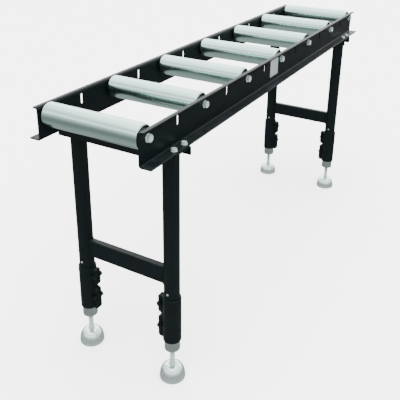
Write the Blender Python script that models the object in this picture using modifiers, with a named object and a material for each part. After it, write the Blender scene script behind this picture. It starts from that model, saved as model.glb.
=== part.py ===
"""Gravity roller conveyor: two channel rails, seven free-turning rollers and two H-stands with levelling feet.

Metres, +Z up. The origin is on the floor under the middle of the conveyor, +X runs along the rails,
the front rail is on the -Y side and the left stand is on the -X side.
"""
import math

import bmesh
import bpy
from mathutils import Matrix

MM = 0.001
GAP = 0.3 * MM                      # kept between neighbouring pieces

# Rails
ROLLER_COUNT = 7
ROLLER_PITCH = 250 * MM
END_MARGIN = 32 * MM                # from the last axle to the rail's end
RAIL_LENGTH = (ROLLER_COUNT - 1) * ROLLER_PITCH + 2 * END_MARGIN
RAIL_SPAN = 290 * MM                # over the outer faces of both webs
RAIL_TOP = 770 * MM
RAIL_HEIGHT = 85 * MM
RAIL_SHEET = 4 * MM
TOP_FLANGE = 12 * MM                # reach outside the web
BOTTOM_FLANGE = 30 * MM
TOP_CORNER = 7 * MM                 # rounded corners of the flanges' ends
BOTTOM_CORNER = 12 * MM
SLOT_WIDTH = 9 * MM
SLOT_HEIGHT = 28 * MM
WEB_OUTER = RAIL_SPAN / 2
WEB_INNER = WEB_OUTER - RAIL_SHEET
RAIL_BOTTOM = RAIL_TOP - RAIL_HEIGHT

# Rollers and axles
AXLE_HEIGHT = RAIL_TOP - 24 * MM
TUBE_RADIUS = 30 * MM
TUBE_WALL = 1.8 * MM
TUBE_LENGTH = 272 * MM
CAP_DEPTH = 14 * MM
CAP_RECESS = 3 * MM
CAP_RIM = 2.9 * MM
CAP_BORE = 15 * MM
RING_RADIUS = 13.6 * MM             # bearing inner ring, a shoulder of the axle
AXLE_RADIUS = 8.5 * MM
AXLE_HALF = WEB_INNER - GAP
BOLT_RADIUS = 5 * MM                # M10
BOLT_HEAD = 9.8 * MM                # radius over the corners
BOLT_HEAD_HEIGHT = 6.5 * MM
WASHER_RADIUS = 10.5 * MM
WASHER_THICK = 2 * MM

# Stands
STAND_X = 650 * MM                  # centre of each stand
LEG_Y = 140 * MM
CHANNEL_WIDTH = 70 * MM
CHANNEL_DEPTH = 25 * MM
CHANNEL_SHEET = 4 * MM
CHANNEL_LENGTH = RAIL_SPAN + 2 * BOTTOM_FLANGE
CHANNEL_TOP = RAIL_BOTTOM - GAP
FLANGE_BOLT_X = 22.5 * MM           # from the stand's centre
FLANGE_BOLT_Y = 163 * MM
LEG_RADIUS = 21.2 * MM
LEG_WALL = 2.3 * MM
LEG_BOTTOM = 206 * MM
LEG_TOP = CHANNEL_TOP - CHANNEL_SHEET - GAP
CROSSBAR_TOP = 350 * MM
CROSSBAR_HEIGHT = 50 * MM
CROSSBAR_WIDTH = 20 * MM
CROSSBAR_WALL = 2 * MM
SCREW_HEIGHT = 280 * MM             # lock screw in the leg, above the clamp
SCREW_RADIUS = 2.5 * MM
SCREW_HEAD = 3.5 * MM
SCREW_HEAD_HEIGHT = 2 * MM

# Clamp sleeves
SLEEVE_RADIUS = 24.8 * MM
SLEEVE_TOP = 262 * MM
SLEEVE_BOTTOM = 127 * MM
SLEEVE_STEP = LEG_BOTTOM - GAP      # the upper half holds the leg, the lower half the inner leg
EAR_REACH = 38 * MM                 # from the leg's axis
EAR_HALF_WIDTH = 9 * MM
EAR_CHAMFER = 8 * MM
SLIT = 3 * MM
NOTCH_HEIGHT = 10 * MM              # at its inner end
NOTCH_MOUTH = 20 * MM               # height where it opens
NOTCH_REACH = 26 * MM
CLAMP_BOLT_REACH = 31.5 * MM
CLAMP_BOLT_HEIGHTS = (235 * MM, 166 * MM)
SMALL_BOLT_RADIUS = 4 * MM          # M8
SMALL_HEAD = 7.5 * MM
SMALL_HEAD_HEIGHT = 5.3 * MM
SMALL_NUT_HEIGHT = 6.5 * MM
HOLE_CLEARANCE = 0.5 * MM

# Inner legs and feet
INNER_RADIUS = 18.5 * MM
INNER_WALL = 3 * MM
INNER_BOTTOM = 96 * MM
INNER_TOP = 420 * MM
PLUG_HEIGHT = 18 * MM
COLLAR_TOP = SLEEVE_BOTTOM - GAP    # the collar stops against the sleeve when the leg is fully in
ROD_RADIUS = 7 * MM                 # M14
ROD_BOTTOM = 16 * MM
ROD_TOP = 178 * MM
THREAD_CLEARANCE = 0.4 * MM
PAD_RADIUS = 35 * MM
PAD_RIM = 7 * MM
PAD_NECK = 11 * MM
PAD_TOP = 40 * MM
PAD_RECESS = 3 * MM                 # round the rod

# Label plate on the front rail
LABEL_X = -54 * MM
LABEL_Z = 731 * MM
LABEL_WIDTH = 60 * MM
LABEL_HEIGHT = 54 * MM
LABEL_THICK = 0.6 * MM

ROUND = 20                          # sides of tubes
CAP_ROUND = 16                      # sides of end caps and pads
SMALL_ROUND = 10                    # sides of axles, rods and holes
ENDS = {"left": -1, "right": 1}
SIDES = {"front": -1, "back": 1}
AXLE_X = [(i - (ROLLER_COUNT - 1) / 2) * ROLLER_PITCH for i in range(ROLLER_COUNT)]
SLOT_X = [x + ROLLER_PITCH / 2 for x in AXLE_X[:-1]]
TO_FRONT = Matrix.Rotation(math.radians(90), 4, "X")      # turns +Z to -Y
TO_BACK = Matrix.Rotation(math.radians(-90), 4, "X")      # turns +Z to +Y
TO_LEFT = Matrix.Rotation(math.radians(-90), 4, "Y")      # turns +Z to -X
HALF_TURN = Matrix.Rotation(math.pi, 4, "Z")
# an outline's axes become Y and Z, and its thickness runs along X
UPRIGHT_YZ = Matrix(((0, 0, 1, 0), (1, 0, 0, 0), (0, 1, 0, 0), (0, 0, 0, 1)))


def clear_scene():
    for item in list(bpy.data.objects):
        bpy.data.objects.remove(item, do_unlink=True)


def new_collection(name):
    made = bpy.data.collections.new(name)
    bpy.context.scene.collection.children.link(made)
    return made


def finish_paint(name, colour, roughness, metallic):
    material = bpy.data.materials.new(name)
    material.use_nodes = True
    shader = material.node_tree.nodes["Principled BSDF"]
    shader.inputs["Base Color"].default_value = (*colour, 1)
    shader.inputs["Roughness"].default_value = roughness
    shader.inputs["Metallic"].default_value = metallic
    return material


def at(x, y, z):
    return Matrix.Translation((x, y, z))


def frozen(item):
    """Returns the object's evaluated mesh, closed and facing out, and removes the object."""
    bpy.context.view_layer.update()
    graph = bpy.context.evaluated_depsgraph_get()
    mesh = bpy.data.meshes.new_from_object(item.evaluated_get(graph))
    bm = bmesh.new()
    bm.from_mesh(mesh)
    bmesh.ops.remove_doubles(bm, verts=bm.verts, dist=0.01 * MM)
    bmesh.ops.recalc_face_normals(bm, faces=bm.faces)
    bm.to_mesh(mesh)
    bm.free()
    bpy.data.objects.remove(item, do_unlink=True)
    return mesh


def box(low, high):
    bm = bmesh.new()
    bmesh.ops.create_cube(bm, size=1)
    size = [b - a for a, b in zip(low, high)]
    middle = [(a + b) / 2 for a, b in zip(low, high)]
    bmesh.ops.transform(bm, matrix=Matrix.Translation(middle) @ Matrix.Diagonal((*size, 1)), verts=bm.verts)
    mesh = bpy.data.meshes.new("box")
    bm.to_mesh(mesh)
    bm.free()
    return mesh


def rod(radius, bottom, top, sides=SMALL_ROUND):
    """A closed cylinder, or a prism, along Z."""
    bm = bmesh.new()
    bmesh.ops.create_cone(
        bm, cap_ends=True, segments=sides, radius1=radius, radius2=radius, depth=top - bottom,
        matrix=at(0, 0, (top + bottom) / 2))
    mesh = bpy.data.meshes.new("rod")
    bm.to_mesh(mesh)
    bm.free()
    return mesh


def turned(profile, sides=ROUND, ring=True):
    """Spins (radius, height) points about Z. A ring's profile closes on itself, a solid's ends on the axis."""
    count = len(profile)
    edges = [(i, i + 1) for i in range(count - 1)]
    if ring:
        edges.append((count - 1, 0))
    mesh = bpy.data.meshes.new("profile")
    mesh.from_pydata([(r, 0, z) for r, z in profile], edges, [])
    item = bpy.data.objects.new("turned", mesh)
    cutters.objects.link(item)
    screw = item.modifiers.new("turn", "SCREW")
    screw.steps = sides
    screw.render_steps = sides
    screw.use_merge_vertices = True
    screw.merge_threshold = 0.01 * MM
    return frozen(item)


def extruded(outline, thickness):
    """A flat outline in the XY plane, thick along Z about that plane."""
    curve = bpy.data.curves.new("outline", "CURVE")
    curve.dimensions = "2D"
    curve.fill_mode = "BOTH"
    curve.extrude = thickness / 2
    spline = curve.splines.new("POLY")
    spline.points.add(len(outline) - 1)
    for point, (x, y) in zip(spline.points, outline):
        point.co = (x, y, 0, 1)
    spline.use_cyclic_u = True
    item = bpy.data.objects.new("outline", curve)
    cutters.objects.link(item)
    return frozen(item)


def moved(mesh, matrix):
    copy = mesh.copy()
    copy.transform(matrix)
    return copy


def joined(meshes):
    """One mesh that holds separate solids."""
    bm = bmesh.new()
    for mesh in meshes:
        bm.from_mesh(mesh)
    result = bpy.data.meshes.new("joined")
    bm.to_mesh(result)
    bm.free()
    return result


def combined(base, *steps):
    """Boolean steps on a solid: each is ("DIFFERENCE" or "UNION", mesh)."""
    item = bpy.data.objects.new("base", base)
    cutters.objects.link(item)
    helpers = []
    for operation, mesh in steps:
        helper = bpy.data.objects.new("cutter", mesh)
        helper.hide_render = True
        helper.display_type = "WIRE"
        cutters.objects.link(helper)
        helpers.append(helper)
        cut = item.modifiers.new(operation.title(), "BOOLEAN")
        cut.operation = operation
        cut.solver = "EXACT"
        cut.object = helper
    result = frozen(item)
    for helper in helpers:
        bpy.data.objects.remove(helper, do_unlink=True)
    return result


def part(name, mesh, material, matrix=None, smooth=True):
    item = bpy.data.objects.new(name, mesh)
    parts.objects.link(item)
    if matrix is not None:
        item.matrix_world = matrix
    if not mesh.materials:
        mesh.materials.append(material)
    if smooth:
        mesh.shade_smooth()
        mesh.set_sharp_from_angle(angle=math.radians(35))
    return item


def flange(reach, corner, bottom):
    """A strip from the web's inner face out to Y = WEB_OUTER + reach, with rounded outer corners."""
    end = RAIL_LENGTH / 2
    edge = WEB_OUTER + reach
    steps = 4
    outline = [(-end, WEB_INNER), (end, WEB_INNER)]
    for sign in (1, -1):
        arc = []
        for i in range(steps + 1):
            angle = math.pi / 2 * i / steps
            arc.append((sign * (end - corner + corner * math.cos(angle)), edge - corner + corner * math.sin(angle)))
        outline += arc if sign > 0 else reversed(arc)
    return moved(extruded(outline, RAIL_SHEET), at(0, 0, bottom + RAIL_SHEET / 2))


def rail_mesh():
    """The back rail: an upright web with a narrow top flange and a wide bottom flange, both turned outwards."""
    end = RAIL_LENGTH / 2
    web = box((-end, WEB_INNER, RAIL_BOTTOM), (end, WEB_OUTER, RAIL_TOP))
    top = flange(TOP_FLANGE, TOP_CORNER, RAIL_TOP - RAIL_SHEET)
    bottom = flange(BOTTOM_FLANGE, BOTTOM_CORNER, RAIL_BOTTOM)
    holes = []
    for x in AXLE_X:
        holes.append(moved(rod(BOLT_RADIUS + GAP, -WEB_OUTER, WEB_OUTER), at(x, WEB_OUTER, AXLE_HEIGHT) @ TO_BACK))
    for x in SLOT_X:
        holes.append(moved(slot_mesh(), at(x, WEB_OUTER, AXLE_HEIGHT) @ TO_BACK))
    for sign in ENDS.values():
        for offset in (-FLANGE_BOLT_X, FLANGE_BOLT_X):
            hole = rod(SMALL_BOLT_RADIUS + HOLE_CLEARANCE, -CHANNEL_DEPTH, CHANNEL_DEPTH)
            holes.append(moved(hole, at(sign * STAND_X + offset, FLANGE_BOLT_Y, RAIL_BOTTOM)))
    return combined(web, ("UNION", top), ("UNION", bottom), ("DIFFERENCE", joined(holes)))


def slot_mesh():
    """A cutter with round ends that passes through the web."""
    half = (SLOT_HEIGHT - SLOT_WIDTH) / 2
    radius = SLOT_WIDTH / 2
    steps = 6
    outline = []
    for sign in (1, -1):
        for i in range(steps + 1):
            angle = math.pi * i / steps
            outline.append((sign * radius * math.cos(angle), sign * (half + radius * math.sin(angle))))
    return extruded(outline, 4 * RAIL_SHEET)


def bolt_and_nut(grip):
    """An M8 bolt with its nut, head up. The clamped parts lie between Z = 0 and Z = -grip."""
    head = rod(SMALL_HEAD, 0, SMALL_HEAD_HEIGHT, sides=6)
    shank = rod(SMALL_BOLT_RADIUS, -grip - SMALL_NUT_HEIGHT - 2 * MM, SMALL_HEAD_HEIGHT / 2, sides=8)
    nut = rod(SMALL_HEAD, -grip - SMALL_NUT_HEIGHT, -grip, sides=6)
    return combined(head, ("UNION", shank), ("UNION", nut))


def make_rails():
    mesh = rail_mesh()
    part("rail_back", mesh, black, smooth=False)
    part("rail_front", mesh, black, HALF_TURN, smooth=False)


def make_label():
    face = -WEB_OUTER - GAP
    mesh = box((LABEL_X - LABEL_WIDTH / 2, face - LABEL_THICK, LABEL_Z - LABEL_HEIGHT / 2),
               (LABEL_X + LABEL_WIDTH / 2, face, LABEL_Z + LABEL_HEIGHT / 2))
    part("label_plate", mesh, silver, smooth=False)


def axle_mesh(ring_top, ring_bottom):
    """A shaft with a bearing ring near each end, and at each end a hex bolt with its washer outside the rail."""
    washer_inner = WEB_OUTER + GAP
    washer_outer = washer_inner + WASHER_THICK
    half_profile = [
        (0, washer_outer), (WASHER_RADIUS, washer_outer), (WASHER_RADIUS, washer_inner),
        (BOLT_RADIUS, washer_inner), (BOLT_RADIUS, AXLE_HALF), (AXLE_RADIUS, AXLE_HALF), (AXLE_RADIUS, ring_top),
        (RING_RADIUS, ring_top), (RING_RADIUS, ring_bottom), (AXLE_RADIUS, ring_bottom)]
    profile = half_profile + [(r, -z) for r, z in reversed(half_profile)]
    axle = turned(profile, SMALL_ROUND, ring=False)
    head = rod(BOLT_HEAD, washer_outer - WASHER_THICK / 2, washer_outer + BOLT_HEAD_HEIGHT, sides=6)
    other_head = moved(head, Matrix.Rotation(math.pi, 4, "X"))
    return combined(axle, ("UNION", head), ("UNION", other_head))


def make_rollers():
    """Tubes, pressed-in end caps with the bearings' outer races, and axles."""
    half = TUBE_LENGTH / 2
    tube_bore = TUBE_RADIUS - TUBE_WALL
    tube = turned([(TUBE_RADIUS, half), (TUBE_RADIUS, -half), (tube_bore, -half), (tube_bore, half)])
    cap_radius = tube_bore - 2 * GAP
    cap_top = half - GAP
    cap_bottom = cap_top - CAP_DEPTH
    plate_top = cap_top - CAP_RECESS
    cap = turned([
        (cap_radius, cap_top), (cap_radius, cap_bottom), (CAP_BORE, cap_bottom), (CAP_BORE, plate_top),
        (cap_radius - CAP_RIM, plate_top), (cap_radius - CAP_RIM, cap_top)], CAP_ROUND)
    axle = axle_mesh(plate_top, cap_bottom)
    for number, x in enumerate(AXLE_X, 1):
        place = at(x, 0, AXLE_HEIGHT)
        part(f"roller_tube_{number}", tube, steel, place @ TO_BACK)
        part(f"end_cap_front_{number}", cap, dark, place @ TO_FRONT)
        part(f"end_cap_back_{number}", cap, dark, place @ TO_BACK)
        part(f"axle_{number}", axle, zinc, place @ TO_BACK)


def make_stand_frames():
    """Top channel, open below, with the bolts that hold the rails, and a box-section crossbar between the legs."""
    half = CHANNEL_WIDTH / 2
    inner = half - CHANNEL_SHEET
    outline = [
        (-half, -CHANNEL_DEPTH), (-inner, -CHANNEL_DEPTH), (-inner, -CHANNEL_SHEET), (inner, -CHANNEL_SHEET),
        (inner, -CHANNEL_DEPTH), (half, -CHANNEL_DEPTH), (half, 0), (-half, 0)]
    channel = moved(extruded(outline, CHANNEL_LENGTH), TO_FRONT)
    head_z = RAIL_SHEET + 2 * GAP
    bolt = bolt_and_nut(head_z + CHANNEL_SHEET)
    bolts = []
    for x in (-FLANGE_BOLT_X, FLANGE_BOLT_X):
        for y in (-FLANGE_BOLT_Y, FLANGE_BOLT_Y):
            bolts.append(moved(bolt, at(x, y, head_z)))
    channel = combined(channel, ("UNION", joined(bolts)))
    bar_half = CROSSBAR_WIDTH / 2
    bore_half = bar_half - CROSSBAR_WALL
    low = CROSSBAR_TOP - CROSSBAR_HEIGHT
    bar = box((-bar_half, -LEG_Y, low), (bar_half, LEG_Y, CROSSBAR_TOP))
    bore = box((-bore_half, -2 * LEG_Y, low + CROSSBAR_WALL), (bore_half, 2 * LEG_Y, CROSSBAR_TOP - CROSSBAR_WALL))
    copes = [moved(rod(LEG_RADIUS + GAP, 0, RAIL_TOP, sides=ROUND), at(0, sign * LEG_Y, 0)) for sign in (-1, 1)]
    bar = combined(bar, ("DIFFERENCE", bore), ("DIFFERENCE", joined(copes)))
    for end, sign in ENDS.items():
        part(f"stand_channel_{end}", channel, black, at(sign * STAND_X, 0, CHANNEL_TOP), smooth=False)
        part(f"crossbar_{end}", bar, black, at(sign * STAND_X, 0, 0), smooth=False)


def make_legs():
    bore = LEG_RADIUS - LEG_WALL
    tube = turned([(LEG_RADIUS, LEG_TOP), (LEG_RADIUS, LEG_BOTTOM), (bore, LEG_BOTTOM), (bore, LEG_TOP)])
    hole = moved(rod(SCREW_RADIUS + GAP, 0, 2 * LEG_RADIUS, sides=8), at(0, 0, SCREW_HEIGHT) @ TO_LEFT)
    tube = combined(tube, ("DIFFERENCE", hole))
    screw = turned([
        (0, SCREW_HEAD_HEIGHT), (SCREW_HEAD * 0.6, SCREW_HEAD_HEIGHT), (SCREW_HEAD, SCREW_HEAD_HEIGHT / 3),
        (SCREW_HEAD, 0), (SCREW_RADIUS, 0), (SCREW_RADIUS, -LEG_WALL), (0, -LEG_WALL)], 8, ring=False)
    for end, side, x, y in leg_places():
        part(f"leg_tube_{end}_{side}", tube, black, at(x, y, 0))
        part(f"lock_screw_{end}_{side}", screw, zinc, at(x - LEG_RADIUS - GAP, y, SCREW_HEIGHT) @ TO_LEFT)


def leg_places():
    """Yields each leg's end and side, and the position of its axis."""
    for end, along in ENDS.items():
        for side, across in SIDES.items():
            yield end, side, along * STAND_X, across * LEG_Y


def facing_middle(x, y):
    """Places a piece that points to +Y so that it stands on a leg's axis and points to the stand's middle."""
    return at(x, y, 0) if y < 0 else at(x, y, 0) @ HALF_TURN


def sleeve_mesh():
    """A stepped sleeve, slit towards +Y between two ears that a notch parts into halves, with a bolt through each."""
    body = rod(SLEEVE_RADIUS, SLEEVE_BOTTOM, SLEEVE_TOP, sides=ROUND)
    ear_top = SLEEVE_TOP - SLEEVE_RADIUS + LEG_RADIUS
    ear = extruded([
        (0, SLEEVE_BOTTOM), (EAR_REACH - EAR_CHAMFER, SLEEVE_BOTTOM), (EAR_REACH, SLEEVE_BOTTOM + EAR_CHAMFER),
        (EAR_REACH, ear_top), (0, ear_top)], 2 * EAR_HALF_WIDTH)
    ear.transform(UPRIGHT_YZ)
    upper_bore = LEG_RADIUS + GAP
    lower_bore = INNER_RADIUS + GAP
    past = EAR_REACH
    bore = turned([
        (0, SLEEVE_TOP + past), (upper_bore, SLEEVE_TOP + past), (upper_bore, SLEEVE_STEP),
        (lower_bore, SLEEVE_STEP), (lower_bore, SLEEVE_BOTTOM - past), (0, SLEEVE_BOTTOM - past)], ring=False)
    slit = box((-SLIT / 2, 0, SLEEVE_BOTTOM - past), (SLIT / 2, 2 * EAR_REACH, SLEEVE_TOP + past))
    middle = (CLAMP_BOLT_HEIGHTS[0] + CLAMP_BOLT_HEIGHTS[1]) / 2
    notch = extruded([
        (NOTCH_REACH, middle - NOTCH_HEIGHT / 2), (CLAMP_BOLT_REACH, middle - NOTCH_HEIGHT / 2),
        (EAR_REACH, middle - NOTCH_MOUTH / 2), (2 * EAR_REACH, middle - NOTCH_MOUTH / 2),
        (2 * EAR_REACH, middle + NOTCH_MOUTH / 2), (EAR_REACH, middle + NOTCH_MOUTH / 2),
        (CLAMP_BOLT_REACH, middle + NOTCH_HEIGHT / 2), (NOTCH_REACH, middle + NOTCH_HEIGHT / 2)],
        4 * EAR_HALF_WIDTH)
    notch.transform(UPRIGHT_YZ)
    bolt = bolt_and_nut(2 * EAR_HALF_WIDTH)
    bolts = [moved(bolt, at(-EAR_HALF_WIDTH, CLAMP_BOLT_REACH, height) @ TO_LEFT) for height in CLAMP_BOLT_HEIGHTS]
    return combined(
        body, ("UNION", ear), ("DIFFERENCE", bore), ("DIFFERENCE", slit), ("DIFFERENCE", notch),
        ("UNION", joined(bolts)))


def make_clamps():
    sleeve = sleeve_mesh()
    for end, side, x, y in leg_places():
        part(f"clamp_sleeve_{end}_{side}", sleeve, black, facing_middle(x, y), smooth=False)


def pad_mesh():
    """A domed pad with a flat base, and a socket for the rod with a recess round its mouth."""
    socket = ROD_RADIUS + THREAD_CLEARANCE
    steps = 5
    dome = []
    for i in range(steps + 1):
        angle = math.pi / 2 * i / steps
        radius = PAD_NECK + (PAD_RADIUS - PAD_NECK) * math.cos(angle)
        height = PAD_RIM + (PAD_TOP - PAD_RIM) * math.sin(angle)
        dome.append((radius, height))
    recess = PAD_TOP - PAD_RECESS
    profile = [(0, ROD_BOTTOM - GAP), (socket, ROD_BOTTOM - GAP), (socket, recess), (PAD_NECK, recess)]
    profile += reversed(dome)
    profile += [(PAD_RADIUS, 0), (0, 0)]
    return turned(profile, CAP_ROUND, ring=False)


def make_feet():
    """Inner leg with a tapped plug and a collar at its lower end, threaded rod and pad."""
    bore = INNER_RADIUS - INNER_WALL
    plug_top = INNER_BOTTOM + PLUG_HEIGHT
    tapped = ROD_RADIUS + THREAD_CLEARANCE
    inner = turned([
        (INNER_RADIUS, INNER_TOP), (INNER_RADIUS, COLLAR_TOP), (LEG_RADIUS, COLLAR_TOP), (LEG_RADIUS, INNER_BOTTOM),
        (tapped, INNER_BOTTOM), (tapped, plug_top), (bore, plug_top), (bore, INNER_TOP)])
    screw = rod(ROD_RADIUS, ROD_BOTTOM, ROD_TOP)
    pad = pad_mesh()
    for end, side, x, y in leg_places():
        part(f"inner_leg_{end}_{side}", inner, zinc, at(x, y, 0))
        part(f"foot_rod_{end}_{side}", screw, zinc, at(x, y, 0))
        part(f"foot_pad_{end}_{side}", pad, chrome, at(x, y, 0))


clear_scene()
parts = new_collection("gravity_roller_conveyor")
cutters = new_collection("cutters")
black = finish_paint("black_powder_coat", (0.012, 0.016, 0.015), 0.45, 0.0)
steel = finish_paint("roller_steel", (0.62, 0.66, 0.64), 0.32, 1.0)
dark = finish_paint("bearing_housing", (0.03, 0.032, 0.033), 0.5, 0.0)
zinc = finish_paint("zinc_plate", (0.5, 0.53, 0.52), 0.35, 1.0)
chrome = finish_paint("bright_foot", (0.75, 0.76, 0.75), 0.15, 1.0)
silver = finish_paint("label_foil", (0.7, 0.71, 0.71), 0.35, 0.6)
make_rails()
make_label()
make_rollers()
make_stand_frames()
make_legs()
make_clamps()
make_feet()
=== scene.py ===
"""Finished look of a gravity roller conveyor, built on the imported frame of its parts.

Metres, +Z up, +X along the rails, the front rail on the -Y side, the left stand on the -X side.
"""
import math

import bmesh
import bpy
from bpy.props import FloatProperty, FloatVectorProperty, IntProperty, PointerProperty
from mathutils import Matrix, Vector


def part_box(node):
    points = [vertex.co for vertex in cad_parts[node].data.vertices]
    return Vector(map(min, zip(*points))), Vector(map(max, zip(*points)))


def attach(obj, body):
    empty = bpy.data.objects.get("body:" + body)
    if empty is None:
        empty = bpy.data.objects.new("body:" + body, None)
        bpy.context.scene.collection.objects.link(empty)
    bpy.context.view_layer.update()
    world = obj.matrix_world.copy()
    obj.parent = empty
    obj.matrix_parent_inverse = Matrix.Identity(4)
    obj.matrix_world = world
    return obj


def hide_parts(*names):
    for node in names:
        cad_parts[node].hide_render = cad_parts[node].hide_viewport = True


bl_info = {
    "name": "Gravity roller conveyor",
    "version": (1, 0, 0),
    "blender": (4, 5, 0),
    "location": "View3D > Sidebar > Conveyor",
    "description": "Builds the rails, rollers, stands and feet of a gravity roller conveyor",
    "category": "Add Mesh",
}

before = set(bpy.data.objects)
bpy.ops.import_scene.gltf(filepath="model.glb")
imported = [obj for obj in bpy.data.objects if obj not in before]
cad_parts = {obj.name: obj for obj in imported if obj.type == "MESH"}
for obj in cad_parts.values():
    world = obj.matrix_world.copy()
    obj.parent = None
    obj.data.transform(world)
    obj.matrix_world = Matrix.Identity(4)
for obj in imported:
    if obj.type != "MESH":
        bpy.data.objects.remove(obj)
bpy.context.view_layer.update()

MM = 0.001
FULL_TURN = 2 * math.pi
ENDS = {"left": -1, "right": 1}
SIDES = {"front": -1, "back": 1}
TO_FRONT = Matrix.Rotation(math.radians(90), 4, "X")
TO_BACK = Matrix.Rotation(math.radians(-90), 4, "X")
TO_LEFT = Matrix.Rotation(math.radians(-90), 4, "Y")
TO_RIGHT = Matrix.Rotation(math.radians(90), 4, "Y")
OUTWARD = {"front": TO_FRONT, "back": TO_BACK}
HALF_TURN = Matrix.Rotation(math.pi, 4, "Z")
# turns a section drawn in X and Y so that it stands in Y and Z and runs along X
ALONG_X = Matrix(((0, 0, 1, 0), (1, 0, 0, 0), (0, 1, 0, 0), (0, 0, 0, 1)))
# turns a section drawn in X and Y so that it stands in X and Z and runs along Y
ALONG_Y = Matrix(((1, 0, 0, 0), (0, 0, -1, 0), (0, 1, 0, 0), (0, 0, 0, 1)))


def middle(node):
    low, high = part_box(node)
    return (low + high) / 2


def size(node):
    low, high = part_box(node)
    return high - low


ROLLER_NUMBERS = range(1, 1 + sum(name.startswith("roller_tube_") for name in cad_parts))
RAIL_LOW, RAIL_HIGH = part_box("rail_back")
TUBE_SIZE = size("roller_tube_1")
LEG_NAMES = [f"{end}_{side}" for end in ENDS for side in SIDES]

# clearance between pieces that are fitted together, and the play of a bolt in a drilled hole
GAP = 0.3 * MM
HOLE_PLAY = 0.5 * MM

# radius of the crossbars' corners
BAR_CORNER = 3 * MM

# how far the end caps are set into a roller
CAP_RECESS = 3.5 * MM

# fasteners, with a hexagon's radius taken to its corners
AXLE_HEX = 9.8 * MM
AXLE_WASHER = 10.5 * MM
AXLE_WASHER_THICK = 2 * MM
SMALL_HEX = 7.5 * MM
SMALL_HEAD_HEIGHT = 5.3 * MM
SMALL_NUT_HEIGHT = 6.5 * MM
SMALL_WASHER = 8.2 * MM
SMALL_WASHER_THICK = 1.2 * MM
BOLT_END = 2 * MM

# each bolt head stands at an angle of its own, in degrees
AXLE_BOLT_DEGREES = 37
FLANGE_BOLT_DEGREES = 23

# clamps: the bolts' heights and degrees, their distance from the leg's axis, and half the width over the ears
CLAMP_BOLTS = {"upper": (235 * MM, 20), "lower": (166 * MM, 48)}
CLAMP_BOLT_REACH = 31.5 * MM
EAR_HALF = 9 * MM

# the camera's sensor, in millimetres
SENSOR_WIDTH = 36


class ConveyorSizes(bpy.types.PropertyGroup):
    sheet: FloatProperty(
        name="Sheet", description="Thickness of the rails and stand channels", default=4 * MM, unit="LENGTH")
    top_flange: FloatProperty(
        name="Top flange", description="Reach of a rail's top flange outside its web",
        default=12 * MM, unit="LENGTH")
    bend: FloatProperty(
        name="Bend radius", description="Inner radius of the folded corners", default=3 * MM, unit="LENGTH")
    top_corner: FloatProperty(
        name="Top corner", description="Radius of the top flange's end corners",
        default=7 * MM, unit="LENGTH")
    bottom_corner: FloatProperty(
        name="Bottom corner", description="Radius of the bottom flange's end corners",
        default=12 * MM, unit="LENGTH")
    slot_width: FloatProperty(
        name="Slot width", description="Width of the rails' upright slots", default=9 * MM, unit="LENGTH")
    slot_height: FloatProperty(
        name="Slot height", description="Height of the rails' upright slots", default=28 * MM, unit="LENGTH")
    soft_edge: FloatProperty(
        name="Soft edge", description="Rounding of cut sheet edges under the paint",
        default=0.7 * MM, unit="LENGTH")
    tube_wall: FloatProperty(
        name="Tube wall", description="Wall of the roller tubes", default=1.8 * MM, unit="LENGTH")
    tube_curl: FloatProperty(
        name="Tube curl", description="Radius of the rolled-in ends of the roller tubes",
        default=4.5 * MM, unit="LENGTH")
    shaft: FloatProperty(
        name="Shaft", description="Radius of the axle shafts", default=8.5 * MM, unit="LENGTH")
    axle_bolt: FloatProperty(
        name="Axle bolt", description="Radius of the axle bolts' thread", default=5 * MM, unit="LENGTH")
    small_bolt: FloatProperty(
        name="Small bolt", description="Radius of the clamp and flange bolts' thread",
        default=4 * MM, unit="LENGTH")
    foot_thread: FloatProperty(
        name="Foot thread", description="Lead of the thread on the foot rods", default=2 * MM, unit="LENGTH")
    rounds: IntProperty(
        name="Rounds", description="Sides of the large turned pieces", default=72, min=12, max=128,
        subtype="UNSIGNED")


class ConveyorColours(bpy.types.PropertyGroup):
    powder_coat: FloatVectorProperty(
        name="Powder coat", description="Black paint of the frame", subtype="COLOR", size=3,
        default=(0.0016, 0.0030, 0.0033), min=0, max=1)
    tube: FloatVectorProperty(
        name="Tube", description="Satin steel of the rollers", subtype="COLOR", size=3,
        default=(0.56, 0.80, 0.745), min=0, max=1)
    zinc: FloatVectorProperty(
        name="Zinc", description="Zinc plate of the axles, inner legs and foot rods", subtype="COLOR", size=3,
        default=(0.58, 0.69, 0.665), min=0, max=1)
    # on the bolts this lighter colour is painted highlight
    bright: FloatVectorProperty(
        name="Bright plate", description="Bright plate of the feet and bolts", subtype="COLOR", size=3,
        default=(0.76, 0.93, 0.90), min=0, max=1)
    housing: FloatVectorProperty(
        name="Housing", description="Dark end caps of the rollers", subtype="COLOR", size=3,
        default=(0.022, 0.027, 0.028), min=0, max=1)
    foil: FloatVectorProperty(
        name="Foil", description="Blank label plate", subtype="COLOR", size=3,
        default=(0.29, 0.34, 0.35), min=0, max=1)


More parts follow.
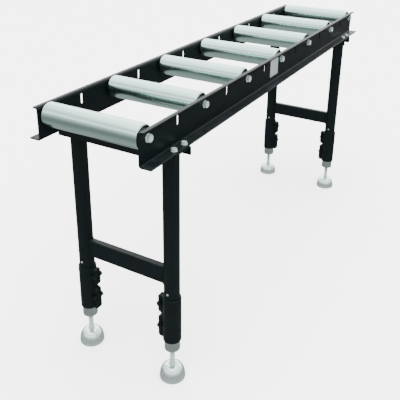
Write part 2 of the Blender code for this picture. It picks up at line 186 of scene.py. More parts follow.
class ConveyorStage(bpy.types.PropertyGroup):
    camera: FloatVectorProperty(
        name="Camera", description="Place of the camera", subtype="XYZ", unit="LENGTH", size=3,
        default=(-1.708, -0.811, 1.242))
    heading: FloatProperty(
        name="Heading", description="Direction of view from +X towards +Y",
        default=math.radians(29.31), unit="ROTATION")
    tilt: FloatProperty(
        name="Tilt", description="Direction of view above the horizon",
        default=math.radians(-21.34), unit="ROTATION")
    roll: FloatProperty(
        name="Roll", description="Turn of the camera about its view",
        default=math.radians(0.68), unit="ROTATION")
    lens: FloatProperty(
        name="Lens", description="Focal length for a 36 mm sensor, in millimetres",
        default=52.9, unit="CAMERA")
    rise: FloatProperty(
        name="Rise", description="Vertical lens shift, as a share of the sensor",
        default=-0.2, soft_min=-1, soft_max=1,
        subtype="FACTOR")
    floor: FloatVectorProperty(
        name="Floor", description="Colour of the plain floor", subtype="COLOR", size=3,
        default=(0.93, 0.93, 0.93))
    key: FloatProperty(
        name="Key", description="Strength of the wide overhead light", default=12, subtype="UNSIGNED")
    spread: FloatProperty(
        name="Spread", description="Angle that the overhead light fills",
        default=math.radians(80), unit="ROTATION")
    surround: FloatProperty(
        name="Surround", description="Brightness of the surroundings", default=1, subtype="UNSIGNED")
    glow: FloatProperty(
        name="Glow", description="Added brightness behind the rails", default=3, subtype="UNSIGNED")


# Shader maths

class Value:
    """A shader socket that takes part in ordinary arithmetic."""

    def __init__(self, paint, socket):
        self.paint = paint
        self.socket = socket

    def maths(self, operation, first, second):
        return self.paint.node("Math", {"operation": operation}, {0: first, 1: second})

    def __add__(self, other):
        return self.maths("ADD", self, other)

    def __mul__(self, other):
        return self.maths("MULTIPLY", self, other)

    __radd__ = __add__
    __rmul__ = __mul__


class Paint:
    """The nodes of one material, or of the surroundings."""

    def __init__(self, owner, shader="Principled BSDF"):
        self.owner = owner
        self.owner.use_nodes = True
        self.nodes = self.owner.node_tree.nodes
        self.links = self.owner.node_tree.links
        self.shader = self.nodes[shader]

    def feed(self, socket, value):
        if isinstance(value, Value):
            self.links.new(value.socket, socket)
        else:
            socket.default_value = value

    def node(self, kind, settings, inputs, output=0):
        """Adds a node: its settings first, then the values or links of its sockets."""
        made = self.nodes.new("ShaderNode" + kind)
        for key, value in settings.items():
            if key == "stops":
                ramp = made.color_ramp
                ramp.elements[0].position, ramp.elements[0].color = value[0]
                ramp.elements[1].position, ramp.elements[1].color = value[-1]
                for position, colour in value[1:-1]:
                    ramp.elements.new(position).color = colour
            else:
                setattr(made, key, value)
        for key, value in inputs.items():
            self.feed(made.inputs[key], value)
        return Value(self, made.outputs[output])

    def place(self, stretch=(1, 1, 1)):
        """Object coordinates, stretched so that a pattern can run longer along one axis."""
        here = self.node("TexCoord", {}, {}, "Object")
        return self.node("Mapping", {}, {"Vector": here, "Scale": stretch})

    def noise(self, place, scale, detail=2.0, roughness=0.5):
        inputs = {"Vector": place, "Scale": scale, "Detail": detail, "Roughness": roughness}
        return self.node("TexNoise", {}, inputs)

    def blend(self, amount, first, second):
        """A colour between two, by a value from 0 to 1."""
        inputs = {"Factor": amount, 6: first, 7: second}
        return self.node("Mix", {"data_type": "RGBA"}, inputs, 2)

    def band(self, value, low, high):
        """0 below low, 1 above high, and smooth between."""
        inputs = {"Value": value, "From Min": low, "From Max": high}
        return self.node("MapRange", {"interpolation_type": "SMOOTHSTEP"}, inputs)

    def bump(self, height, distance, strength=1.0, below=None):
        inputs = {"Height": height, "Distance": distance, "Strength": strength}
        if below is not None:
            inputs["Normal"] = below
        return self.node("Bump", {}, inputs)

    def finish(self, **inputs):
        for key, value in inputs.items():
            self.feed(self.shader.inputs[key.replace("_", " ")], value)
        return self.owner


def rgba(colour, gain=1.0):
    return (*(channel * gain for channel in colour), 1)


def powder_coat_material(colours):
    """Semi-gloss black powder coat: fine orange peel, faint clouding and a little grey on what faces up,
    partly dust and partly painted sheen.
    """
    paint = Paint(bpy.data.materials.new("black_powder_coat"))
    place = paint.place()
    peel = paint.noise(place, 420, 3)
    grain = paint.noise(place, 1500, 2)
    cloud = paint.noise(place, 9, 4, 0.6)
    facing = paint.node("NewGeometry", {}, {}, "Normal")
    upward = paint.node("SeparateXYZ", {}, {"Vector": facing}, "Z")
    # a light grey on what faces up, partly dust and partly painted sheen: it stands in for the light that the
    # tops of the flanges catch
    dust_and_sheen = paint.band(upward, 0.75, 1.0) * paint.band(paint.noise(place, 60, 5, 0.7), 0.35, 0.75)
    coat = paint.blend(cloud, rgba(colours.powder_coat, 0.8), rgba(colours.powder_coat, 1.5))
    coat_with_dust_and_sheen = paint.blend(dust_and_sheen * 0.02, coat, (0.30, 0.32, 0.315, 1))
    relief = paint.bump(peel, 0.00012, 0.35)
    return paint.finish(
        Base_Color=coat_with_dust_and_sheen,
        Roughness=0.28 + cloud * 0.10 + dust_and_sheen * 0.10 + grain * 0.04,
        Specular_IOR_Level=0.08,
        Normal=paint.bump(grain, 0.00004, 0.25, relief))


def tube_material(colours):
    """Satin steel tube: fine turning rings, a few handling marks and slow changes of tone along it."""
    paint = Paint(bpy.data.materials.new("roller_steel"))
    rings = paint.noise(paint.place((6, 2600, 6)), 1, 3, 0.65)
    bands = paint.noise(paint.place((3, 60, 3)), 1, 3)
    smear = paint.noise(paint.place((1, 0.35, 1)), 38, 5, 0.6)
    marks = paint.band(paint.noise(paint.place((160, 12, 160)), 1, 4, 0.7), 0.62, 0.74)
    steel = paint.blend(smear, rgba(colours.tube, 0.88), rgba(colours.tube, 1.05))
    worn = paint.blend(marks * 0.14, steel, rgba(colours.tube, 0.62))
    return paint.finish(
        Base_Color=worn,
        Metallic=1.0,
        Roughness=0.19 + rings * 0.05 + bands * 0.04 + marks * 0.06,
        Normal=paint.bump(rings, 0.00003, 0.25))


def zinc_material(colours):
    """Zinc plate: a soft grey mottle with cloudy roughness."""
    paint = Paint(bpy.data.materials.new("zinc_plate"))
    place = paint.place()
    mottle = paint.noise(place, 130, 4, 0.6)
    cloud = paint.noise(place, 26, 3)
    fine = paint.noise(place, 1400, 2)
    zinc = paint.blend(mottle, rgba(colours.zinc, 0.82), rgba(colours.zinc, 1.12))
    return paint.finish(
        Base_Color=zinc,
        Metallic=1.0,
        Roughness=0.26 + cloud * 0.12 + mottle * 0.08,
        Normal=paint.bump(fine, 0.00002, 0.3))


def bright_material(colours):
    """Bright plate: nearly mirror smooth, with faint streaks down its flanks, in relief and in its colour,
    where they are painted reflection.
    """
    paint = Paint(bpy.data.materials.new("bright_foot"))
    streaks_and_reflections = paint.noise(paint.place((1, 1, 0.12)), 120, 3, 0.6)
    cloud = paint.noise(paint.place(), 30, 3)
    # lighter and darker streaks in the colour down the flanks: painted reflection of the rod, legs and
    # surroundings
    plate = paint.blend(streaks_and_reflections, rgba(colours.bright, 0.72), rgba(colours.bright, 1.05))
    return paint.finish(
        Base_Color=plate,
        Metallic=0.92,
        Roughness=0.11 + streaks_and_reflections * 0.10 + cloud * 0.06,
        Normal=paint.bump(streaks_and_reflections, 0.0004, 0.5))


def bolt_material(colours):
    """Zinc on the turned and forged fasteners, coloured lighter than the zinc plate: the lighter tone is
    painted highlight on the bolt faces.
    """
    paint = Paint(bpy.data.materials.new("bolt_plate"))
    mottle = paint.noise(paint.place(), 320, 3, 0.6)
    cloud = paint.noise(paint.place(), 60, 3)
    # the bright plate's colour, lighter than the zinc, is painted highlight on the bolt faces
    plate = paint.blend(mottle, rgba(colours.bright, 0.78), rgba(colours.bright, 1.0))
    return paint.finish(
        Base_Color=plate,
        Metallic=0.82,
        Roughness=0.20 + cloud * 0.12 + mottle * 0.08,
        Normal=paint.bump(mottle, 0.00003, 0.3))


def housing_material(colours):
    """Dark moulded end cap with a fine matt grain."""
    paint = Paint(bpy.data.materials.new("bearing_housing"))
    place = paint.place()
    grain = paint.noise(place, 1100, 3)
    cloud = paint.noise(place, 40, 3)
    shade = paint.blend(cloud, rgba(colours.housing, 0.8), rgba(colours.housing, 1.4))
    return paint.finish(
        Base_Color=shade,
        Roughness=0.36 + cloud * 0.12 + grain * 0.06,
        Normal=paint.bump(grain, 0.00005, 0.35))


def foil_material(colours):
    """Brushed foil of the blank label."""
    paint = Paint(bpy.data.materials.new("label_foil"))
    brushed = paint.noise(paint.place((40, 1, 2600)), 1, 3, 0.6)
    cloud = paint.noise(paint.place(), 50, 3)
    foil = paint.blend(cloud, rgba(colours.foil, 0.92), rgba(colours.foil, 1.08))
    return paint.finish(
        Base_Color=foil,
        Metallic=0.55,
        Roughness=0.34 + brushed * 0.10 + cloud * 0.06,
        Normal=paint.bump(brushed, 0.00002, 0.3))


def floor_material(stage):
    """Plain pale floor with the faintest mottle."""
    paint = Paint(bpy.data.materials.new("pale_floor"))
    cloud = paint.noise(paint.place(), 3, 3)
    return paint.finish(
        Base_Color=paint.blend(cloud, rgba(stage.floor, 0.985), rgba(stage.floor)),
        Roughness=0.75,
        Specular_IOR_Level=0.2)


FINISHES = {
    "black_powder_coat": powder_coat_material,
    "roller_steel": tube_material,
    "zinc_plate": zinc_material,
    "bright_foot": bright_material,
    "bolt_plate": bolt_material,
    "bearing_housing": housing_material,
    "label_foil": foil_material,
}


def finish_of(finish):
    """The material of a finish, made once."""
    made = bpy.data.materials.get(finish)
    if made is None or not made.get("conveyor_finish"):
        made = FINISHES[finish](bpy.context.scene.conveyor_colours)
        made["conveyor_finish"] = True
    return made


# Modelling helpers

def at(x, y, z):
    return Matrix.Translation((x, y, z))


def arc_corner(before, corner, after, radius, steps):
    """Points that round a corner between two straight stretches."""
    here = Vector(corner)
    to_before = (Vector(before) - here).normalized()
    to_after = (Vector(after) - here).normalized()
    half = to_before.angle(to_after) / 2
    reach = radius / math.tan(half)
    centre = here + (to_before + to_after).normalized() * (radius / math.sin(half))
    start = here + to_before * reach - centre
    finish = here + to_after * reach - centre
    turn = start.angle_signed(finish)
    points = []
    for i in range(steps + 1):
        spoke = start.copy()
        spoke.rotate(Matrix.Rotation(-turn * i / steps, 2))
        points.append(tuple(centre + spoke))
    return points


def rounded(corners, steps=5, closed=True):
    """An outline from (x, y, radius) corners. A radius of 0 keeps the corner sharp."""
    count = len(corners)
    outline = []
    for i, (x, y, radius) in enumerate(corners):
        at_end = not closed and i in (0, count - 1)
        if radius <= 0 or at_end:
            outline.append((x, y))
        else:
            before = corners[i - 1][:2]
            after = corners[(i + 1) % count][:2]
            outline += arc_corner(before, (x, y), after, radius, steps)
    return outline


def rounded_box(half_width, half_height, corner, steps=5):
    """The outline of a rectangle about the origin, with round corners."""
    return rounded([
        (-half_width, -half_height, corner), (half_width, -half_height, corner),
        (half_width, half_height, corner), (-half_width, half_height, corner)], steps)


def mirrored(half_outline):
    """A half outline of (radius, height, rounding) corners, followed by its reflection below Z = 0."""
    return half_outline + [(r, -z, rounding) for r, z, rounding in reversed(half_outline)]


def turned(corners, sides=None, closed=False, steps=5):
    """Spins an outline of (radius, height, rounding) corners about Z. A closed outline makes a ring."""
    sides = sides or bpy.context.scene.conveyor_sizes.rounds
    bm = bmesh.new()
    verts = [bm.verts.new((r, 0, z)) for r, z in rounded(corners, steps, closed)]
    pairs = list(zip(verts, verts[1:]))
    if closed:
        pairs.append((verts[-1], verts[0]))
    for pair in pairs:
        bm.edges.new(pair)
    bmesh.ops.spin(
        bm, geom=bm.verts[:] + bm.edges[:], cent=(0, 0, 0), axis=(0, 0, 1), angle=FULL_TURN, steps=sides,
        use_merge=True)
    return cleaned(bm)


def cleaned(bm):
    bmesh.ops.remove_doubles(bm, verts=bm.verts, dist=0.002 * MM)
    bmesh.ops.recalc_face_normals(bm, faces=bm.faces)
    return bm


def bar(outline, low, high):
    """An outline in X and Y, made solid from Z = low to Z = high."""
    bm = bmesh.new()
    face = bm.faces.new([bm.verts.new((x, y, low)) for x, y in outline])
    grown = bmesh.ops.extrude_face_region(bm, geom=[face])["geom"]
    top = [part for part in grown if isinstance(part, bmesh.types.BMVert)]
    bmesh.ops.translate(bm, vec=(0, 0, high - low), verts=top)
    return cleaned(bm)


def rod(radius, low, high, sides=32):
    bm = bmesh.new()
    bmesh.ops.create_cone(
        bm, cap_ends=True, segments=sides, radius1=radius, radius2=radius, depth=high - low,
        matrix=at(0, 0, (low + high) / 2))
    return bm


def block(low, high):
    bm = bmesh.new()
    low, high = Vector(low), Vector(high)
    bmesh.ops.create_cube(bm, size=1, matrix=Matrix.LocRotScale((low + high) / 2, None, high - low))
    return bm


def placed(bm, matrix):
    """A copy of a shape, moved."""
    copy = bm.copy()
    bmesh.ops.transform(copy, matrix=matrix, verts=copy.verts)
    return copy


def gathered(shapes):
    """One bmesh that holds several shapes."""
    whole = bmesh.new()
    for shape in shapes:
        holder = bpy.data.meshes.new("holder")
        shape.to_mesh(holder)
        whole.from_mesh(holder)
        bpy.data.meshes.remove(holder)
    return whole


def combined(base, *steps):
    """Boolean steps on a shape: each is ("DIFFERENCE", "UNION" or "INTERSECT", shape)."""
    helpers = []
    for shape in (base, *(shape for _, shape in steps)):
        mesh = bpy.data.meshes.new("helper")
        shape.to_mesh(mesh)
        helper = bpy.data.objects.new("helper", mesh)
        bpy.context.scene.collection.objects.link(helper)
        helpers.append(helper)
    for (operation, _), helper in zip(steps, helpers[1:]):
        cut = helpers[0].modifiers.new(operation.title(), "BOOLEAN")
        cut.operation = operation
        cut.solver = "EXACT"
        cut.object = helper
    bpy.context.view_layer.update()
    graph = bpy.context.evaluated_depsgraph_get()
    result = bmesh.new()
    result.from_object(helpers[0], graph)
    for helper in helpers:
        mesh = helper.data
        bpy.data.objects.remove(helper, do_unlink=True)
        bpy.data.meshes.remove(mesh)
    return cleaned(result)


def softened(bm, width, segments=2, above=50):
    """Rounds every edge that is sharper than an angle in degrees."""
    limit = math.radians(above)
    sharp = [edge for edge in bm.edges if edge.is_manifold and edge.calc_face_angle(0) > limit]
    bmesh.ops.bevel(
        bm, geom=sharp, offset=width, segments=segments, profile=0.5, affect="EDGES", clamp_overlap=True,
        material=-1)
    return cleaned(bm)


def piece(name, bm, finish, body, replaces=(), smooth_below=40):
    """Makes a finished piece that rides on a body and takes the place of CAD nodes."""
    mesh = bpy.data.meshes.new(name)
    bm.to_mesh(mesh)
    mesh.shade_smooth()
    mesh.set_sharp_from_angle(angle=math.radians(smooth_below))
    mesh.materials.append(finish_of(finish))
    item = bpy.data.objects.new(name, mesh)
    bpy.context.scene.collection.objects.link(item)
    weights = item.modifiers.new("Weighted normals", "WEIGHTED_NORMAL")
    weights.keep_sharp = True
    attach(item, body)
    if replaces:
        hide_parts(*replaces)


def black_piece(name, bm, *nodes):
    """A black piece of the frame, in the place of the CAD nodes named. On the flange nuts the black is
    painted shade.
    """
    piece(name, bm, "black_powder_coat", "frame", nodes)


# Fasteners

def hex_prism(across_corners, low, high):
    """A hexagon with the turned chamfer that real heads and nuts have at both ends."""
    hexagon = rod(across_corners, low, high, sides=6)
    cut = 0.12 * across_corners
    drop = 0.07 * across_corners
    turning = turned([
        (0, high, 0), (across_corners - cut, high, 0), (across_corners + cut, high - 2 * drop, 0),
        (across_corners + cut, low + 2 * drop, 0), (across_corners - cut, low, 0), (0, low, 0)], sides=36)
    return combined(hexagon, ("INTERSECT", turning))


def bolt_shape(radius, length, head_radius, head_height):
    """Hex bolt with its seat at Z = 0 and its shank below. The head has a washer face and a dished top."""
    lip = 0.5 * MM
    head = hex_prism(head_radius, lip, head_height)
    dish = turned([
        (0, head_height - 0.5 * MM, 0), (0.52 * head_radius, head_height - 0.5 * MM, 0),
        (0.60 * head_radius, head_height + MM, 0), (0, head_height + MM, 0)], sides=36)
    seat = rod(0.82 * head_radius, 0, 2 * lip, sides=36)
    shank = turned([
        (0, lip, 0), (radius, lip, 0), (radius, -length + 0.8 * MM, 0), (radius - 0.8 * MM, -length, 0),
        (0, -length, 0)], sides=24)
    return combined(head, ("DIFFERENCE", dish), ("UNION", seat), ("UNION", shank))


def nut_shape(radius, outer, height):
    """Hex nut that stands on Z = 0, with countersunk thread mouths."""
    mouth = 0.7 * MM
    bore = turned([
        (0, height + MM, 0), (radius + mouth + MM, height + MM, 0), (radius, height - mouth, 0),
        (radius, mouth, 0), (radius + mouth + MM, -MM, 0), (0, -MM, 0)], sides=24)
    return combined(hex_prism(outer, 0, height), ("DIFFERENCE", bore))


def washer_shape(bolt_radius, outer, thick):
    """Flat washer that lies on Z = 0, with a loose hole for its bolt."""
    inner = bolt_radius + GAP
    edge = 0.3 * MM
    outline = [(outer, thick, edge), (outer, 0, edge), (inner, 0, 0), (inner, thick, edge)]
    return turned(outline, sides=36, closed=True, steps=2)


def small_fasteners(sizes, grip):
    """Bolt, nut and washer of the flanges and clamps. The grip is between the head's and nut's seats."""
    bolt = bolt_shape(sizes.small_bolt, grip + SMALL_NUT_HEIGHT + BOLT_END, SMALL_HEX, SMALL_HEAD_HEIGHT)
    nut = nut_shape(sizes.small_bolt, SMALL_HEX, SMALL_NUT_HEIGHT)
    washer = washer_shape(sizes.small_bolt, SMALL_WASHER, SMALL_WASHER_THICK)
    return bolt, nut, washer


# Rails

def rail_shape(sizes):
    """The back rail as a folded sheet: upright web, narrow top flange and wide bottom flange."""
    outer = RAIL_HIGH.y
    low, high = RAIL_LOW.z, RAIL_HIGH.z
    inner = RAIL_LOW.y
    web = inner + sizes.sheet
    top_edge = web + sizes.top_flange
    fold = sizes.bend + sizes.sheet
    section = rounded([
        (inner, low, fold), (outer, low, 0), (outer, low + sizes.sheet, 0),
        (web, low + sizes.sheet, sizes.bend),
        (web, high - sizes.sheet, sizes.bend), (top_edge, high - sizes.sheet, 0), (top_edge, high, 0),
        (inner, high, fold)], steps=6)
    bm = bar(section, RAIL_LOW.x, RAIL_HIGH.x)
    bmesh.ops.transform(bm, matrix=ALONG_X, verts=bm.verts)
    cleaned(bm)
    for reach, corner in ((top_edge, sizes.top_corner), (outer, sizes.bottom_corner)):
        round_ends(bm, reach, corner)
    return combined(bm, ("DIFFERENCE", gathered(rail_cutters(sizes, web))))


def round_ends(bm, reach, corner):
    """Rounds the short upright edges at both ends of a flange that reaches out to Y = reach."""
    near = 0.05 * MM
    chosen = []
    for edge in bm.edges:
        ends = [v.co for v in edge.verts]
        if all(abs(p.y - reach) < near and abs(abs(p.x) - RAIL_HIGH.x) < near for p in ends):
            chosen.append(edge)
    bmesh.ops.bevel(
        bm, geom=chosen, offset=corner, segments=6, profile=0.5, affect="EDGES", clamp_overlap=True,
        material=-1)


def rail_cutters(sizes, web):
    """Axle holes and slots in the web, and holes for the stand bolts in the bottom flange."""
    cutters = []
    reach = 3 * sizes.sheet
    round_end = sizes.slot_width / 2
    slot = bar(rounded_box(round_end, sizes.slot_height / 2, 0.98 * round_end, steps=6), -reach, reach)
    axle_hole = rod(sizes.axle_bolt + 0.4 * MM, -reach, reach)
    flange_hole = rod(sizes.small_bolt + HOLE_PLAY, -reach, reach)
    axles = [middle(f"roller_tube_{n}") for n in ROLLER_NUMBERS]
    for axle in axles:
        cutters.append(placed(axle_hole, at(axle.x, web, axle.z) @ TO_BACK))
    for first, second in zip(axles, axles[1:]):
        cutters.append(placed(slot, at((first.x + second.x) / 2, web, first.z) @ TO_BACK))
    for x, y in flange_bolt_places():
        if y > 0:
            cutters.append(placed(flange_hole, at(x, y, RAIL_LOW.z)))
    return cutters


def flange_bolt_places():
    """Two bolts for each rail at each stand, either side of the stand's centre."""
    offset = 22.5 * MM
    inset = 12 * MM
    across = RAIL_HIGH.y - inset
    for end in ENDS:
        centre = middle(f"stand_channel_{end}").x
        for x in (centre - offset, centre + offset):
            for sign in SIDES.values():
                yield x, sign * across


def build_rails(sizes):
    shape = softened(rail_shape(sizes), sizes.soft_edge)
    black_piece("rail_back_folded", shape, "rail_back")
    black_piece("rail_front_folded", placed(shape, HALF_TURN), "rail_front")


def build_label():
    """A blank plate with rounded corners and a thin raised border."""
    low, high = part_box("label_plate")
    centre = middle("label_plate")
    thick = 0.5 * MM
    corner = 3 * MM
    border = 2.2 * MM
    step = 0.3 * MM
    sunk = 0.2 * MM
    plate = bar(rounded_box((high.x - low.x) / 2, (high.z - low.z) / 2, corner), 0, thick)
    front = max(plate.faces, key=lambda face: face.calc_center_median().z)
    bmesh.ops.inset_region(plate, faces=[front], thickness=border, depth=0)
    bmesh.ops.inset_region(plate, faces=[front], thickness=step, depth=-sunk)
    placement = at(centre.x, high.y, centre.z) @ TO_FRONT
    piece("label_blank", placed(plate, placement), "label_foil", "frame", ["label_plate"])


# Rollers

def build_rollers(sizes):
    """Tubes with rolled-in ends, recessed end caps, and sealed bearings."""
    recess = TUBE_SIZE.y / 2 - CAP_RECESS
    tube = tube_shape(sizes)
    cap = cap_shape(recess, TUBE_SIZE.z / 2 - sizes.tube_wall)
    shield = shield_shape(recess)
    for number in ROLLER_NUMBERS:
        node = f"roller_tube_{number}"
        place = at(*middle(node))
        body = f"roller_{number}"
        piece(f"tube_{number}", placed(tube, place @ TO_BACK), "roller_steel", body, [node])
        for side, turn in OUTWARD.items():
            label = f"{side}_{number}"
            piece(f"cap_{label}", placed(cap, place @ turn), "bearing_housing", body, [f"end_cap_{label}"])
            piece(f"bearing_shield_{label}", placed(shield, place @ turn), "zinc_plate", body)


def tube_shape(sizes):
    """A roller's tube along Z, with both ends rolled in."""
    radius = TUBE_SIZE.z / 2
    half = TUBE_SIZE.y / 2
    wall = sizes.tube_wall
    bore = radius - wall
    curl = sizes.tube_curl
    lip = radius - curl
    half_outline = [
        (bore, half - curl, 0), (bore, half - wall, curl - wall), (lip, half - wall, 0),
        (lip, half, 0.5 * MM), (radius, half, curl)]
    return turned(mirrored(half_outline), closed=True, steps=6)


def cap_shape(recess, tube_bore):
    """An end cap about Z, with a raised hub, a dished face and a ridge near its edge."""
    edge = tube_bore - 0.1 * MM
    hub = 15.4 * MM
    bottom = recess - 14 * MM
    hub_top = recess + 1.5 * MM
    dish = recess - 0.6 * MM
    ridge = recess + 0.4 * MM
    groove = recess - 1.5 * MM
    return turned([
        (edge, groove, 0), (edge, bottom, 0), (hub, bottom, 0), (hub, hub_top, 0.5 * MM),
        (17.5 * MM, hub_top, 0.8 * MM), (18.5 * MM, dish, 0.6 * MM), (21.5 * MM, dish, 0.6 * MM),
        (22.3 * MM, ridge, 0.4 * MM), (24.6 * MM, ridge, 0.4 * MM), (25.4 * MM, groove, 0)],
        closed=True, steps=3)


def shield_shape(recess):
    """The ring that closes a bearing, inside the cap's hub."""
    outer = 15.3 * MM
    inner = 12.6 * MM
    bottom = recess - 10 * MM
    face = recess + 0.2 * MM
    return turned([
        (outer, bottom, 0), (inner, bottom, 0), (inner, recess - 0.4 * MM, 0), (13.2 * MM, face, 0.3 * MM),
        (14.6 * MM, face, 0.3 * MM), (outer, recess - 0.2 * MM, 0)], closed=True, steps=2)


def build_axles(sizes):
    """Shafts with the bearings' inner rings, and a bolt with its washer at each end."""
    half = RAIL_LOW.y - GAP
    recess = TUBE_SIZE.y / 2 - CAP_RECESS
    ring = 12 * MM
    ring_end = recess - 12 * MM
    shaft = turned(mirrored([
        (0, half, 0), (sizes.shaft, half, 0.8 * MM), (sizes.shaft, recess, 0), (ring, recess, 0.4 * MM),
        (ring, ring_end, 0.4 * MM), (sizes.shaft, ring_end, 0)]), sides=40, steps=3)
    washer_low = RAIL_LOW.y + sizes.sheet
    head_low = washer_low + AXLE_WASHER_THICK
    head_height = size("axle_1").y / 2 - head_low
    washer = washer_shape(sizes.axle_bolt, AXLE_WASHER, AXLE_WASHER_THICK)
    bolt = bolt_shape(sizes.axle_bolt, AXLE_WASHER_THICK + sizes.sheet, AXLE_HEX, head_height)
    for number in ROLLER_NUMBERS:
        place = at(*middle(f"roller_tube_{number}"))
        piece(f"shaft_{number}", placed(shaft, place @ TO_BACK), "zinc_plate", "frame", [f"axle_{number}"])
        for side, turn in OUTWARD.items():
            label = f"{side}_{number}"
            spun = place @ turn @ Matrix.Rotation(math.radians(AXLE_BOLT_DEGREES * number), 4, "Z")
            piece(f"axle_washer_{label}", placed(washer, spun @ at(0, 0, washer_low)), "bolt_plate", "frame")
            piece(f"axle_bolt_{label}", placed(bolt, spun @ at(0, 0, head_low)), "bolt_plate", "frame")


# Stands

def channel_shape(sizes, node):
    """Top channel, open below, with folded corners and bolt holes."""
    low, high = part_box(node)
    top = RAIL_LOW.z - GAP
    bottom = low.z
    half = (high.x - low.x) / 2
    inner = half - sizes.sheet
    fold = sizes.bend + sizes.sheet
    under = top - sizes.sheet
    section = rounded([
        (-half, bottom, 0), (-inner, bottom, 0), (-inner, under, sizes.bend),
        (inner, under, sizes.bend), (inner, bottom, 0), (half, bottom, 0),
        (half, top, fold), (-half, top, fold)], steps=6)
    bm = bar(section, low.y, high.y)
    bmesh.ops.transform(bm, matrix=at((low.x + high.x) / 2, 0, 0) @ ALONG_Y, verts=bm.verts)
    hole = rod(sizes.small_bolt + HOLE_PLAY, -2 * sizes.sheet, 2 * sizes.sheet)
    holes = [placed(hole, at(x, y, top)) for x, y in flange_bolt_places() if low.x < x < high.x]
    return softened(combined(cleaned(bm), ("DIFFERENCE", gathered(holes))), sizes.soft_edge)


def build_stand_tops(sizes):
    """Top channels, and the bolts, washers and nuts that hold the rails on them."""
    for end in ENDS:
        node = f"stand_channel_{end}"
        black_piece(f"channel_{end}_folded", channel_shape(sizes, node), node)
    seat = RAIL_LOW.z + sizes.sheet
    under = RAIL_LOW.z - GAP - sizes.sheet
    bolt, nut, washer = small_fasteners(sizes, seat - under + SMALL_WASHER_THICK)
    for number, (x, y) in enumerate(flange_bolt_places(), 1):
        head = at(x, y, seat + SMALL_WASHER_THICK)
        spun = head @ Matrix.Rotation(math.radians(FLANGE_BOLT_DEGREES * number), 4, "Z")
        piece(f"flange_washer_{number}", placed(washer, at(x, y, seat)), "bolt_plate", "frame")
        piece(f"flange_bolt_{number}", placed(bolt, spun), "bolt_plate", "frame")
        # the flange nuts are zinc; the black coat they take here is painted shade for the shadow they sit in
        # under the channel
        black_piece(f"flange_nut_{number}", placed(nut, at(x, y, under - SMALL_NUT_HEIGHT)))


def leg_axis(name):
    """The leg's axis on the floor."""
    spot = middle(f"leg_tube_{name}")
    return spot.x, spot.y


def facing_middle(name):
    """Puts a piece that points to +Y on the leg's axis, so that it points to the stand's middle."""
    x, y = leg_axis(name)
    return at(x, y, 0) if y < 0 else at(x, y, 0) @ HALF_TURN


def weld_ring(radius, height, width):
    """A weld bead round a tube, with the ripples of a hand weld."""
    ripples = 26
    depth = 0.16
    root = radius - 0.5 * MM
    bm = turned([
        (root, height, 0), (radius + width, height, 0), (radius + 0.75 * width, height - 0.5 * width, 0),
        (radius + 0.2 * width, height - width, 0), (root, height - 1.05 * width, 0)],
        sides=5 * ripples, closed=True)
    for vert in bm.verts:
        away = Vector((vert.co.x, vert.co.y, 0))
        if away.length > radius:
            ripple = 1 + depth * math.sin(ripples * math.atan2(away.y, away.x))
            reach = radius + (away.length - radius) * ripple
            vert.co.xy = (away.normalized() * reach).xy
    return bm


def build_legs(sizes):
    """Leg tubes, the welds under the channels, crossbars with their welds, and the lock screws."""
    under = RAIL_LOW.z - GAP - sizes.sheet
    wall = 2.3 * MM
    bead = 4 * MM
    for name in LEG_NAMES:
        node = f"leg_tube_{name}"
        low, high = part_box(node)
        radius = (high.x - low.x) / 2
        bore = radius - wall
        tube = turned([
            (radius, high.z, 0), (radius, low.z, 0.6 * MM), (bore, low.z, 0.6 * MM), (bore, high.z, 0)],
            closed=True, steps=2)
        place = at(*leg_axis(name), 0)
        black_piece(f"leg_{name}", placed(tube, place), node)
        black_piece(f"leg_weld_{name}", placed(weld_ring(radius, under, bead), place))
        build_lock_screw(name)
    for end in ENDS:
        build_crossbar(end)


def build_lock_screw(name):
    """Button-head screw with a hexagon socket, just above the clamp."""
    node = f"lock_screw_{name}"
    low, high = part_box(node)
    radius = (high.z - low.z) / 2
    reach = high.x - low.x
    head = 2 * MM
    rim = 0.6 * MM
    shank = 2.5 * MM
    dome = turned([
        (0, head, 0), (0.6 * radius, head, 0.2 * MM), (radius, rim, 0.8 * MM), (radius, 0, 0),
        (shank, 0, 0), (shank, head - reach, 0), (0, head - reach, 0)], sides=32)
    socket = rod(1.5 * MM, rim, 2 * head, sides=6)
    screw = combined(dome, ("DIFFERENCE", socket))
    place = at(low.x + head, (low.y + high.y) / 2, (low.z + high.z) / 2) @ TO_LEFT
    piece(f"screw_{name}", placed(screw, place), "zinc_plate", "frame", [node])


def build_crossbar(end):
    """Box-section crossbar with rounded corners, welded to both legs."""
    node = f"crossbar_{end}"
    low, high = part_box(node)
    centre = middle(node)
    half_width = (high.x - low.x) / 2
    half_height = (high.z - low.z) / 2
    wall = 2 * MM
    outside = bar(rounded_box(half_width, half_height, BAR_CORNER), low.y, high.y)
    hollow = rounded_box(half_width - wall, half_height - wall, BAR_CORNER - wall)
    inside = bar(hollow, low.y - wall, high.y + wall)
    tube = placed(combined(outside, ("DIFFERENCE", inside)), at(centre.x, 0, centre.z) @ ALONG_Y)
    black_piece(f"bar_{end}", cleaned(tube), node)
    for side, sign in SIDES.items():
        leg = f"leg_tube_{end}_{side}"
        bead = weld_path(half_width, half_height, size(leg).x / 2)
        place = at(centre.x, middle(leg).y, centre.z) @ (HALF_TURN if sign > 0 else Matrix())
        black_piece(f"bar_weld_{end}_{side}", placed(bead, place))


